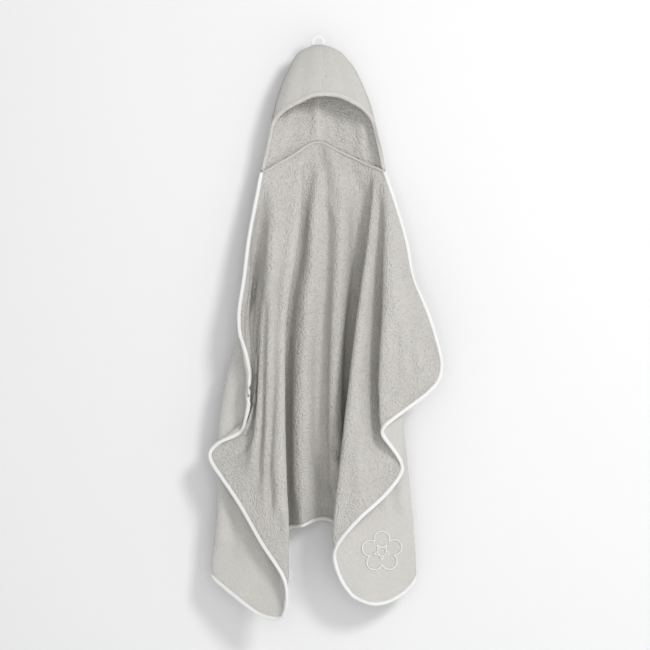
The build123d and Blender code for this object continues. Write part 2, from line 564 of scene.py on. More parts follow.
@dataclass
class FlatCut:
    """The body panel as it was cut, in millimetres, from its neck edge down."""

    width: float = 1100.0
    length: float = 700.0
    corner: float = 73.0
    neck: float = 262.0
    step: float = 12.0

    def rounded(self, across: float, down: float) -> tuple[float, float]:
        """Draws a place in a square corner in to the rounded corner.

        Args:
            across: the place's distance from the middle.
            down: its distance from the neck edge.

        Returns:
            The place on the cut panel.
        """
        start = self.width / 2 - self.corner
        side = math.copysign(1, across)
        a = (abs(across) - start) / self.corner
        for centre, way in ((self.corner, -1), (self.length - self.corner, 1)):
            b = way * (down - centre) / self.corner
            if a > 0 and b > 0:
                across = side * (start + a * math.sqrt(1 - b * b / 2) * self.corner)
                down = centre + way * b * math.sqrt(1 - a * a / 2) * self.corner
                break
        return across, down

    def on_edge(self, side: Side, along: float) -> tuple[float, float]:
        """Finds a place on the bound edge of the cut.

        Args:
            side: which end of the neck seam the distance starts from.
            along: the distance.

        Returns:
            The flat place.
        """
        way = -1 if side is Side.LEFT else 1
        top = self.width / 2 - self.corner - self.neck / 2
        arc = self.corner * math.pi / 2
        down = self.length - 2 * self.corner
        half, r = self.width / 2, self.corner
        if along <= top:
            return way * (self.neck / 2 + along), 0.0
        if along <= top + arc:
            turn = (along - top) / r
            return way * (half - r + r * math.sin(turn)), r - r * math.cos(turn)
        if along <= top + arc + down:
            return way * half, r + along - top - arc
        if along <= top + 2 * arc + down:
            turn = (along - top - arc - down) / r
            return way * (half - r + r * math.cos(turn)), self.length - r + r * math.sin(turn)
        return way * (half - r - (along - top - 2 * arc - down)), self.length

    def along_edge(self, across: float, down: float) -> float:
        """How far along the bound edge a flat place on it lies.

        Args:
            across: the place's distance from the middle.
            down: its distance from the neck edge.

        Returns:
            The distance from the nearer end of the neck seam.
        """
        top = self.width / 2 - self.corner - self.neck / 2
        arc = self.corner * math.pi / 2
        side = self.length - 2 * self.corner
        start, r = self.width / 2 - self.corner, self.corner
        a = abs(across)
        if a <= start:
            return a - self.neck / 2 if down < r else top + 2 * arc + side + start - a
        if down < r:
            return top + r * math.atan2(a - start, r - down)
        if down > self.length - r:
            return top + arc + side + r * math.atan2(down - self.length + r, a - start)
        return top + arc + down - r

    def area(self) -> float:
        """The cut's area in square metres."""
        return (self.width * self.length - (4 - math.pi) * self.corner**2) * MM * MM

    def grid(self) -> bmesh.types.BMesh:
        """Lays the cut flat as an even grid.

        Returns:
            The grid.
        """
        bm = bmesh.new()
        columns = round(self.width / self.step)
        rows = round(self.length / self.step)
        bmesh.ops.create_grid(bm, x_segments=columns, y_segments=rows, size=0.5)
        for vert in bm.verts:
            across = vert.co.x * self.width
            down = (0.5 - vert.co.y) * self.length
            vert.co = Vector((*self.rounded(across, down), 0))
        return bm


# The bound edge as it hangs, from each end of the neck seam round to the middle of the hem:
# millimetres along the edge, then right of the loop, towards the wall, and up.
LEFT_EDGE: list[tuple[float, Point]] = [
    (0, (-102, 0, -243)), (117, (-124, -11, -360)), (195, (-133, -22, -439)),
    (256, (-142, -32, -499)), (293, (-140, -38, -536)), (345, (-128, -44, -585)),
    (385, (-124, -50, -621)), (415, (-125, -52, -648)), (470, (-128, -48, -678)),
    (530, (-132, -38, -700)), (565, (-137, -30, -712)), (590, (-148, -27, -720)),
    (630, (-172, -25, -731)), (660, (-191, -24, -744)), (678, (-197, -24, -755)),
    (695, (-193, -26, -767)), (720, (-182, -30, -783)), (791, (-140, -46, -843)),
    (872, (-100, -60, -912)), (912, (-79, -66, -942)), (950, (-63, -69, -967)),
    (978, (-56, -69, -987)), (992, (-55, -67, -1000)), (1020, (-58, -62, -1025)),
    (1050, (-62, -57, -1042)), (1074, (-71, -52, -1049)), (1095, (-88, -47, -1047)),
    (1111, (-104, -43, -1042)), (1147, (-131, -36, -1024)), (1184, (-158, -28, -1003)),
    (1232, (-193, -12, -974)), (1290, (-165, -2, -962)), (1350, (-120, -12, -935)),
    (1400, (-90, 10, -915)), (1460, (-50, 28, -889)), (1500, (-40, 12, -887)),
    (1534, (-28, -8, -884)), (1575, (-8, 12, -876)), (1598, (8, 26, -872)),
    (1610, (14, 28, -873)),
]
RIGHT_EDGE: list[tuple[float, Point]] = [
    (0, (120, 0, -240)), (121, (158, -24, -366)), (195, (171, -36, -439)),
    (256, (195, -44, -494)), (333, (217, -52, -567)), (376, (221, -58, -597)),
    (404, (217, -62, -617)), (430, (204, -65, -635)), (503, (160, -70, -669)),
    (558, (122, -74, -697)), (580, (113, -72, -709)), (600, (117, -66, -719)),
    (618, (128, -62, -733)), (657, (147, -55, -760)), (681, (153, -52, -778)),
    (706, (144, -55, -796)), (759, (116, -62, -829)), (831, (73, -70, -867)),
    (902, (36, -62, -911)), (929, (29, -54, -931)), (959, (33, -48, -954)),
    (1000, (45, -42, -985)), (1034, (62, -37, -1007)), (1062, (80, -31, -1020)),
    (1090, (102, -24, -1025)), (1120, (126, -17, -1022)), (1160, (155, -8, -1007)),
    (1198, (176, -2, -985)), (1211, (180, 2, -976)), (1250, (152, 4, -958)),
    (1300, (112, 8, -938)), (1340, (132, 16, -944)), (1380, (156, 22, -952)),
    (1420, (138, 26, -942)), (1498, (88, 20, -915)), (1540, (60, 20, -895)),
    (1590, (26, 28, -878)), (1610, (14, 28, -873)),
]

# The folds, from the left round to the right.  Each has the place it leaves the neck seam, in
# millimetres from its middle, the side and the distance along the bound edge where it ends, and
# the places it hangs through on the way.
FOLDS: list[tuple[float, Side, float, list[Point]]] = [
    (-131, Side.LEFT, 345, [(-102, 0, -243), (-124, -11, -360), (-142, -32, -499)]),
    (-129, Side.LEFT, 404, [(-101, 0, -243), (-122, -9, -360), (-136, -32, -511)]),
    (-127, Side.LEFT, 500, [(-99, 1, -242), (-118, -4, -360), (-126, -20, -511), (-120, -20, -620)]),
    (-125, Side.LEFT, 565, [(-97, 1, -241), (-111, 6, -360), (-116, -10, -511), (-114, -12, -620)]),
    (-121, Side.LEFT, 678, [
        (-93, 3, -240), (-97, -6, -360), (-105, -24, -511), (-109, -32, -620), (-122, -34, -700),
        (-150, -28, -738),
    ]),
    (-117, Side.LEFT, 791, [
        (-88, 5, -237), (-88, -24, -360), (-96, -44, -511), (-99, -50, -620), (-112, -48, -735),
    ]),
    (-100, Side.LEFT, 872, [
        (-74, 10, -228), (-77, -27, -360), (-85, -54, -511), (-88, -62, -620), (-94, -60, -770),
    ]),
    (-60, Side.LEFT, 930, [
        (-44, 18, -210), (-54, -22, -360), (-72, -54, -511), (-73, -64, -620), (-75, -66, -770),
        (-73, -62, -880),
    ]),
    (-30, Side.LEFT, 985, [
        (-20, 26, -192), (-33, -15, -360), (-56, -50, -511), (-59, -62, -620), (-59, -66, -770),
        (-57, -60, -890), (-55, -60, -950),
    ]),
    (-29, Side.LEFT, 1074, [
        (-19, 26, -192), (-42, -4, -360), (-78, -28, -511), (-88, -36, -620), (-90, -38, -760),
        (-80, -38, -900), (-72, -42, -980),
    ]),
    (-28, Side.LEFT, 1147, [
        (-18, 26, -191), (-50, 6, -360), (-108, -10, -511), (-130, -18, -620), (-138, -20, -760),
        (-134, -22, -900),
    ]),
    (-26, Side.LEFT, 1232, [
        (-17, 27, -191), (-58, 16, -360), (-140, 6, -511), (-176, 0, -620), (-190, 0, -735),
        (-182, 0, -810), (-186, -4, -890),
    ]),
    (-24, Side.LEFT, 1350, [
        (-16, 27, -190), (-44, 20, -360), (-98, 12, -511), (-116, 8, -620), (-122, 2, -760),
        (-122, -6, -860),
    ]),
    (-22, Side.LEFT, 1460, [
        (-14, 27, -189), (-24, 30, -360), (-50, 31, -511), (-55, 31, -620), (-56, 31, -740),
        (-54, 30, -840),
    ]),
    (-8, Side.LEFT, 1534, [
        (-5, 28, -186), (-8, 4, -360), (-22, -12, -511), (-31, -18, -620), (-34, -20, -740),
        (-32, -17, -830),
    ]),
    (12, Side.LEFT, 1598, [
        (10, 28, -187), (12, 20, -360), (8, 17, -511), (6, 16, -620), (6, 18, -740),
        (9, 24, -830),
    ]),
    (58, Side.RIGHT, 1540, [
        (52, 24, -210), (46, -6, -360), (35, -14, -511), (30, -14, -620), (28, -8, -740),
        (36, 4, -840),
    ]),
    (72, Side.RIGHT, 1450, [
        (66, 22, -216), (68, 26, -360), (56, 29, -511), (52, 29, -620), (58, 29, -740),
        (84, 27, -850),
    ]),
    (84, Side.RIGHT, 1380, [
        (76, 20, -221), (86, 25, -360), (96, 27, -511), (112, 27, -620), (130, 26, -740),
        (146, 24, -860),
    ]),
    (94, Side.RIGHT, 1300, [
        (85, 17, -226), (96, 18, -360), (100, 16, -511), (106, 14, -620), (110, 12, -740),
        (112, 10, -850),
    ]),
    (104, Side.RIGHT, 1211, [
        (94, 14, -230), (118, 18, -360), (130, 12, -511), (146, 8, -620), (161, 6, -740),
        (170, 4, -840),
    ]),
    (106, Side.RIGHT, 1160, [
        (96, 13, -231), (112, 8, -360), (118, 2, -511), (127, -6, -620), (140, -10, -760),
        (148, -10, -880),
    ]),
    (108, Side.RIGHT, 1090, [
        (98, 12, -232), (104, 0, -360), (100, -14, -511), (102, -20, -620), (106, -22, -760),
        (104, -23, -900),
    ]),
    (110, Side.RIGHT, 1000, [
        (100, 11, -232), (96, -9, -360), (84, -30, -511), (76, -38, -620), (66, -40, -760),
        (56, -40, -890),
    ]),
    (112, Side.RIGHT, 929, [
        (101, 10, -233), (85, -22, -360), (64, -46, -511), (53, -56, -620), (38, -62, -760),
        (27, -61, -860),
    ]),
    (115, Side.RIGHT, 831, [
        (104, 8, -234), (97, -22, -360), (86, -50, -511), (80, -58, -610), (76, -67, -720),
    ]),
    (118, Side.RIGHT, 759, [
        (107, 7, -235), (110, -4, -360), (107, -14, -511), (106, -22, -620), (109, -42, -740),
    ]),
    (121, Side.RIGHT, 681, [
        (110, 6, -236), (126, -6, -360), (140, -18, -511), (150, -28, -610), (155, -42, -700),
    ]),
    (125, Side.RIGHT, 580, [
        (114, 3, -238), (119, -46, -360), (112, -70, -490), (108, -76, -588), (109, -77, -660),
    ]),
    (128, Side.RIGHT, 503, [
        (117, 2, -239), (136, -40, -360), (150, -60, -480), (158, -68, -570),
    ]),
    (129.5, Side.RIGHT, 404, [(119, 1, -240), (148, -30, -360), (178, -48, -480), (205, -58, -560)]),
    (131, Side.RIGHT, 333, [(120, 0, -240), (158, -24, -366), (171, -36, -439), (195, -44, -494)]),
]


def smooth_line(marks: list[float], points: list[Point], at: float) -> Vector:
    """A place on the smooth curve through some points.

    Args:
        marks: how far along the curve each point lies.
        points: the points.
        at: how far along the place lies.

    Returns:
        The place.
    """
    k = 0
    while k < len(marks) - 2 and marks[k + 1] < at:
        k += 1
    share = min(max((at - marks[k]) / (marks[k + 1] - marks[k]), 0.0), 1.0)
    near = [Vector(points[min(max(k + i, 0), len(points) - 1)]) for i in (-1, 0, 1, 2)]
    span = marks[k + 1] - marks[k]
    slopes = []
    for i in (0, 1):
        one, two = max(k + i - 1, 0), min(k + i + 1, len(points) - 1)
        slopes.append((near[i + 2] - near[i]) * (span / (marks[two] - marks[one])))
    square, cube = share * share, share**3
    return (
        near[1] * (2 * cube - 3 * square + 1) + slopes[0] * (cube - 2 * square + share)
        + near[2] * (3 * square - 2 * cube) + slopes[1] * (cube - square)
    )


class FoldGuide:
    """Where each place on the flat cut hangs before the cloth settles."""

    stations = 25
    least_size = 0.5

    def __init__(self, cut: FlatCut) -> None:
        """Joins neighbouring folds with triangles, flat and hung.

        Args:
            cut: the flat cut.
        """
        self.cut = cut
        self.flat, self.hung = [], []
        for start, side, end, places in FOLDS:
            finish_flat = Vector((*cut.on_edge(side, end), 0))
            hung = [*places, tuple(self.edge_place(side, end))]
            marks = lengths_along(hung)
            for k in range(self.stations):
                share = k / (self.stations - 1)
                self.hung.append(smooth_line(marks, hung, share * marks[-1]))
                self.flat.append(Vector((start, 0, 0)).lerp(finish_flat, share))
        self.faces = []
        count = self.stations
        for i in range(len(FOLDS) - 1):
            for k in range(count - 1):
                a, b = i * count + k, (i + 1) * count + k
                pair = ((a, b, b + 1), (a, b + 1, a + 1))
                self.faces += [face for face in pair if self.size(face) > self.least_size]
        self.tree = BVHTree.FromPolygons(self.flat, self.faces)

    @staticmethod
    def edge_place(side: Side, along: float) -> Vector:
        """Where a place on the bound edge hangs."""
        table = LEFT_EDGE if side is Side.LEFT else RIGHT_EDGE
        return smooth_line([mark for mark, _ in table], [place for _, place in table], along)

    def size(self, face: tuple) -> float:
        """Twice a flat triangle's area."""
        a, b, c = (self.flat[i] for i in face)
        return abs((b - a).cross(c - a).z)

    def place(self, across: float, down: float) -> Vector:
        """Hangs a place of the flat cut.

        Args:
            across: its distance from the middle.
            down: its distance from the neck edge.

        Returns:
            The hung place, in millimetres.
        """
        near, _, index, _ = self.tree.find_nearest(Vector((across, down, 0)))
        a, b, c = (self.flat[i] for i in self.faces[index])
        whole = (b - a).cross(c - a).z
        one = (b - near).cross(c - near).z / whole
        two = (c - near).cross(a - near).z / whole
        first, second, third = (self.hung[i] for i in self.faces[index])
        return first * one + second * two + third * (1 - one - two)


@dataclass
class BodyPanel:
    """The one terry sheet that hangs in folds below the hood."""

    cut: FlatCut = field(default_factory=FlatCut)
    cloth: float = 3.4
    wall: float = 32.0
    front: float = -74.0
    edge_reach: float = 70.0
    lobe_reach: float = 60.0
    lobe_hold: float = 0.6
    settle_steps: int = 300
    far_slack: float = 0.14
    near_slack: float = 0.05
    far_share: float = 0.25
    eagerness: float = 1.1
    hold: float = 0.015
    hold_depth: float = 0.006
    edge_hold: float = 0.25
    lobe_edge: float = 1.4
    cloth_frames: int = 12
    least_pin: float = 0.35
    more_pin: float = 0.55
    piece: bpy.types.Object | None = None
    sheet_points: list = field(default_factory=list)
    flat_points: list = field(default_factory=list)
    faces: list = field(default_factory=list)
    normals: list = field(default_factory=list)
    near_edge: np.ndarray | None = None

    def neck_points(self) -> np.ndarray:
        """Which points of the cut are sewn to the hood."""
        flat = np.array(self.flat_points)
        return (flat[:, 1] < 1) & (np.abs(flat[:, 0]) <= self.cut.neck / 2 + 1)

    def settle(self, hung: np.ndarray, columns: int, rows: int) -> np.ndarray:
        """Lets the hung sheet take up its own flat lengths, fold by fold.

        Args:
            hung: the guided places, in millimetres.
            columns: points across the cut.
            rows: points down the cut.

        Returns:
            The settled places.
        """
        index = np.arange(columns * rows).reshape(rows, columns)
        flat = np.array(self.flat_points)
        links = []
        for right, down, pull in (
            (1, 0, 1.0), (0, 1, 1.0), (1, 1, 0.6), (1, -1, 0.6),
            (2, 0, 0.35), (0, 2, 0.35), (4, 0, 0.25), (0, 4, 0.25),
        ):
            low, high = max(0, -down), rows - max(0, down)
            a = index[low:high, : columns - right].ravel()
            b = index[low + down : high + down, right:].ravel()
            rest = np.linalg.norm(flat[b] - flat[a], axis=1)
            far = max(right, abs(down)) > 1
            links.append((a, b, pull, rest, self.far_slack if far else self.near_slack, far))
        held = self.neck_points()
        rim = np.zeros(columns * rows, bool)
        rim[np.r_[index[0], index[-1], index[:, 0], index[:, -1]]] = True
        goal = self.draw_to_edge(hung, rim & ~held)
        held |= rim
        place = goal.copy()
        for _ in range(self.settle_steps):
            move = np.zeros_like(place)
            count = np.zeros(len(place))
            for a, b, pull, rest, slack, far in links:
                gap = place[b] - place[a]
                long = np.maximum(np.linalg.norm(gap, axis=1), 1e-6)
                short = np.minimum(long - rest * (1 - slack), 0)
                error = short if far else short + np.maximum(long - rest, 0)
                shift = gap / long[:, None] * (error * 0.5 * pull)[:, None]
                np.add.at(move, a, shift)
                np.add.at(move, b, -shift)
                share = self.far_share if far else pull
                np.add.at(count, a, share)
                np.add.at(count, b, share)
            new = place + move / np.maximum(count, 1)[:, None] * self.eagerness
            hold = self.edge_hold * self.near_edge
            new[:, [0, 2]] += (goal - new)[:, [0, 2]] * (self.hold + hold)
            new[:, 1] += (goal - new)[:, 1] * (self.hold_depth + hold[:, 0])
            new[:, 1] = np.clip(new[:, 1], self.front, self.wall)
            new[held] = goal[held]
            place = new
        return place

    def draw_to_edge(self, hung: np.ndarray, rim: np.ndarray) -> np.ndarray:
        """Draws the sheet's rim, and less and less of what is near it, on to the bound edge.

        Args:
            hung: the guided places.
            rim: which points lie on the bound edge.

        Returns:
            The guided places with the rim on its edge.
        """
        flat = np.array(self.flat_points)
        spots = np.flatnonzero(rim)
        shifts = np.zeros((len(spots), 3))
        for row, spot in enumerate(spots):
            across, down = flat[spot]
            side = Side.LEFT if across < 0 else Side.RIGHT
            wanted = FoldGuide.edge_place(side, self.cut.along_edge(across, down))
            shifts[row] = np.array(wanted) - hung[spot]
        gaps = np.linalg.norm(flat[:, None] - flat[spots][None], axis=2)
        nearest = gaps.argmin(axis=1)
        fade = np.clip(1 - gaps.min(axis=1) / self.edge_reach, 0, 1)
        fade = fade * fade * (3 - 2 * fade)
        low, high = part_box("flower_motif")
        motif = np.array((low + high) / 2 / MM)
        away = np.linalg.norm(hung - motif, axis=1) / self.lobe_reach
        lobe = np.clip(self.lobe_edge - away, 0, 1)
        self.near_edge = np.maximum(fade, lobe * self.lobe_hold)[:, None]
        return hung + shifts[nearest] * fade[:, None]

    def hang(self, guide: FoldGuide) -> None:
        """Places the flat grid in its folds and lets it settle.

        Args:
            guide: where the cut's places hang.
        """
        bm = self.cut.grid()
        bm.verts.ensure_lookup_table()
        self.flat_points = [(vert.co.x, vert.co.y) for vert in bm.verts]
        columns = round(self.cut.width / self.cut.step) + 1
        rows = len(bm.verts) // columns
        hung = np.array([guide.place(*flat) for flat in self.flat_points])
        settled = self.settle(hung, columns, rows)
        layer = bm.loops.layers.uv.new("flat")
        for face in bm.faces:
            for loop in face.loops:
                loop[layer].uv = loop.vert.co.xy * MM
        for vert, place in zip(bm.verts, settled):
            vert.co = Vector(place) * MM
        self.faces = [[vert.index for vert in face.verts] for face in bm.faces]
        self.piece = to_object("body_panel_cloth", bm, [LOOPED.make(), SHEARED.make()])

    def drape(self) -> None:
        """Runs the cloth solver, held by the neck seam, and keeps the sheet as it leaves it."""
        group = self.piece.vertex_groups.new(name="held")
        for index, near in enumerate(self.near_edge[:, 0]):
            group.add([index], self.least_pin + self.more_pin * float(near), "REPLACE")
        for index in np.flatnonzero(self.neck_points()):
            group.add([int(index)], 1.0, "REPLACE")
        cloth = self.piece.modifiers.new("drape", "CLOTH")
        solver = cloth.settings
        solver.quality = 8
        solver.mass = 0.25
        solver.tension_stiffness = 30
        solver.compression_stiffness = 12
        solver.shear_stiffness = 8
        solver.bending_stiffness = 1.5
        solver.vertex_group_mass = "held"
        solver.pin_stiffness = 2.0
        cloth.collision_settings.use_collision = False
        cloth.collision_settings.use_self_collision = True
        cloth.collision_settings.self_distance_min = 0.003
        scene = bpy.context.scene
        cloth.point_cache.frame_start = 1
        cloth.point_cache.frame_end = self.cloth_frames
        before = [vert.co.copy() for vert in self.piece.data.vertices]
        for frame_number in range(1, self.cloth_frames + 1):
            scene.frame_set(frame_number)
        draped = self.piece.evaluated_get(bpy.context.evaluated_depsgraph_get()).to_mesh()
        places = [vert.co.copy() for vert in draped.vertices]
        self.piece.to_mesh_clear()
        self.piece.modifiers.remove(cloth)
        scene.frame_set(1)
        self.piece.vertex_groups.clear()
        for vert, place in zip(self.piece.data.vertices, places):
            vert.co = place
        moves = [(a - b).length for a, b in zip(before, places)]
        LOG.info("cloth run moved the sheet %.4f on average, %.4f at most",
                 sum(moves) / len(moves), max(moves))

    def build(self) -> bpy.types.Object:
        """Makes the finished sheet.

        Returns:
            The sheet.
        """
        self.hang(FoldGuide(self.cut))
        self.drape()
        mesh = self.piece.data
        self.sheet_points = [vert.co.copy() for vert in mesh.vertices]
        self.normals = [vert.normal.copy() for vert in mesh.vertices]
        add_modifier(
            self.piece, "SOLIDIFY", thickness=self.cloth * MM, offset=0.0,
            material_offset=1, use_even_offset=False,
        )
        add_modifier(self.piece, "SUBSURF", levels=1, render_levels=1)
        finish_piece(self.piece, "terry", "body_panel")
        return self.piece


# ---------------------------------------------------------------- the hood


# Height, left side, right side and half depth of the hood from its tip down, in millimetres.
HOOD_LEVELS: list[tuple[float, float, float, float]] = [
    (-12, -4, 6, 4), (-15, -12, 18, 9), (-20, -25, 32, 13), (-27, -36, 43, 16),
    (-53, -51, 65, 21), (-81, -64, 79, 25), (-117, -76, 94, 28), (-148, -83, 102, 30),
    (-201, -92, 115, 32), (-250, -103, 121, 33),
]

# The face opening's edge from the middle of its arch down to each end of the neck seam, as
# millimetres right of the loop and up.
LEFT_RIM = [
    (11, -106), (-8, -108), (-36, -120), (-63, -135), (-80, -153), (-86, -176), (-92, -205),
    (-99, -234), (-102, -243),
]
RIGHT_RIM = [
    (11, -106), (36, -108), (63, -119), (84, -132), (98, -148), (105, -170), (112, -200),
    (118, -231), (120, -240),
]

# Creases of the hood: where one starts and ends, its depth, its width, and whether it is in the
# back of the hood or in the front.
HOOD_CREASES: list[tuple[tuple, tuple, float, float, bool]] = [
    ((-4, -75), (-3, -188), 9.0, 7.0, True), ((-36, -85), (-74, -215), 7.0, 8.0, True),
    ((72, -90), (84, -215), 9.0, 8.0, True), ((38, -80), (30, -190), -4.0, 9.0, True),
    ((-48, -60), (-60, -128), -2.5, 9.0, False), ((62, -60), (78, -125), -2.5, 9.0, False),
    ((30, -30), (52, -112), 1.6, 7.0, False), ((-22, -32), (-30, -118), 1.8, 7.0, False),
]


@dataclass
class HoodPanel:
    """One of the two shaped terry panels that meet along the hood's middle."""

    side: Side
    rim: list
    neck: list
    cloth: float = 3.4
    rim_columns: int = 26
    neck_columns: int = 18
    rows: int = 26
    flat: tuple[float, float] = (0.20, 0.25)
    crowding: float = 1.25
    seam_depth: float = 0.6
    seam_columns: float = 1.2
    piece: bpy.types.Object | None = None
    rim_frames: list = field(default_factory=list)
    middles: list = field(default_factory=list)

    def section(self, height: float) -> tuple[float, float, float]:
        """Measures the hood across at a height.

        Args:
            height: the height, in millimetres.

        Returns:
            Its middle, half width and half depth there.
        """
        heights = [-level[0] for level in HOOD_LEVELS]
        _, left, right, deep = (
            float(np.interp(-height, heights, column)) for column in zip(*HOOD_LEVELS)
        )
        return (left + right) / 2, (right - left) / 2, deep

    def round_point(self, turn: float, height: float) -> Vector:
        """Finds a place on the creased hood.

        Args:
            turn: its turn from the front.
            height: its height, in millimetres.

        Returns:
            The place.
        """
        middle, wide, deep = self.section(height)
        place = Vector((middle + wide * math.sin(turn), -deep * math.cos(turn), height))
        behind = math.cos(turn) < 0
        for start, end, depth, width, at_back in HOOD_CREASES:
            if at_back != behind:
                continue
            a, b, p = Vector(start), Vector(end), Vector((place.x, height))
            share = min(max((p - a).dot(b - a) / (b - a).length_squared, 0), 1)
            gap = (p - a - (b - a) * share).length
            fade = math.sin(math.pi * min(max(share * 0.9 + 0.1, 0), 1)) ** 0.5
            way = -1 if behind else 1
            place.y += way * depth * fade * math.exp(-((gap / width) ** 2)) * abs(math.cos(turn))
        return place

    def ends(self) -> list[tuple[float, float]]:
        """Finds where each column of the panel ends, at the rim and then at the neck.

        Returns:
            Each end's turn from the front and its height.
        """
        marks = lengths_along([(x, 0, z) for x, z in self.rim])
        points = [(x, 0, z) for x, z in self.rim]
        found = []
        for i in range(self.rim_columns):
            place = smooth_line(marks, points, i / self.rim_columns * marks[-1])
            middle, wide, _ = self.section(place.z)
            found.append((math.asin(min(max((place.x - middle) / wide, -1), 1)), place.z))
        side_turn = math.copysign(math.pi / 2, self.neck[0].x)
        marks = lengths_along(self.neck)
        for i in range(self.neck_columns + 1):
            share = i / self.neck_columns
            place = smooth_line(marks, self.neck, share * marks[-1])
            middle, wide, _ = self.section(place.z)
            lean = min(max((place.x - middle) / wide, -1), 1)
            turn = math.pi - math.asin(lean) if lean > 0 else -math.pi - math.asin(lean)
            found.append((turn if abs(turn) > abs(side_turn) else side_turn, place.z))
        return found

    def build(self) -> bpy.types.Object:
        """Makes the panel and remembers its front edge.

        Returns:
            The panel.
        """
        ends = self.ends()
        bm = bmesh.new()
        columns = len(ends) - 1
        bmesh.ops.create_grid(bm, x_segments=columns, y_segments=self.rows, size=0.5)
        layer = bm.loops.layers.uv.new("flat")
        tip = HOOD_LEVELS[0][0]
        grid = {}
        for vert in bm.verts:
            grid[vert] = (round((vert.co.x + 0.5) * columns), round((vert.co.y + 0.5) * self.rows))
        for face in bm.faces:
            for loop in face.loops:
                i, j = grid[loop.vert]
                loop[layer].uv = (i / columns * self.flat[0], j / self.rows * self.flat[1])
        for vert, (i, j) in grid.items():
            turn, low = ends[i]
            share = (j / self.rows) ** self.crowding
            height = tip + (low - tip) * share
            seam = self.seam_depth * math.exp(-((min(i, columns - i) / self.seam_columns) ** 2))
            place = self.round_point(turn, height)
            middle = self.section(height)[0]
            inward = Vector((middle - place.x, -place.y, 0))
            if i < self.rim_columns and inward.length > 1e-6:
                place += inward.normalized() * seam
            vert.co = place * MM
        front = [None] * (self.rim_columns + 1)
        by_place = {spot: vert for vert, spot in grid.items()}
        bmesh.ops.recalc_face_normals(bm, faces=bm.faces[:])
        bm.normal_update()
        for i in range(self.rim_columns + 1):
            vert, above = by_place[(i, self.rows)], by_place[(i, self.rows - 1)]
            up = (above.co - vert.co).normalized()
            out = Vector((vert.co.x, vert.co.y - 0.005, 0)).normalized()
            front[i] = (vert.co.copy(), up, (out - up * out.dot(up)).normalized())
        self.rim_frames = front
        for column, way in ((0, -1), (columns, 1)):
            line = []
            for j in range(2, self.rows + 1):
                line.append((by_place[(column, j)].co.copy(), Vector((0, way, 0))))
            self.middles.append(line)
        bmesh.ops.remove_doubles(bm, verts=bm.verts[:], dist=1e-6)
        name = f"hood_{self.side.value}_panel_cloth"
        self.piece = to_object(name, bm, [SHEARED.make(), LOOPED.make()])
        mesh = self.piece.data
        away = sum(
            polygon.normal.dot(polygon.center - Vector((0.008, 0, polygon.center.z))) * polygon.area
            for polygon in mesh.polygons
        )
        if away < 0:
            mesh.flip_normals()
        add_modifier(
            self.piece, "SOLIDIFY", thickness=self.cloth * MM, offset=0.0, material_offset=1,
        )
        add_modifier(self.piece, "SUBSURF", levels=1, render_levels=1)
        finish_piece(self.piece, "terry", f"hood_{self.side.value}_panel")
        return self.piece

    def area(self) -> float:
        """The panel's area in square metres."""
        return sum(polygon.area for polygon in self.piece.data.polygons)


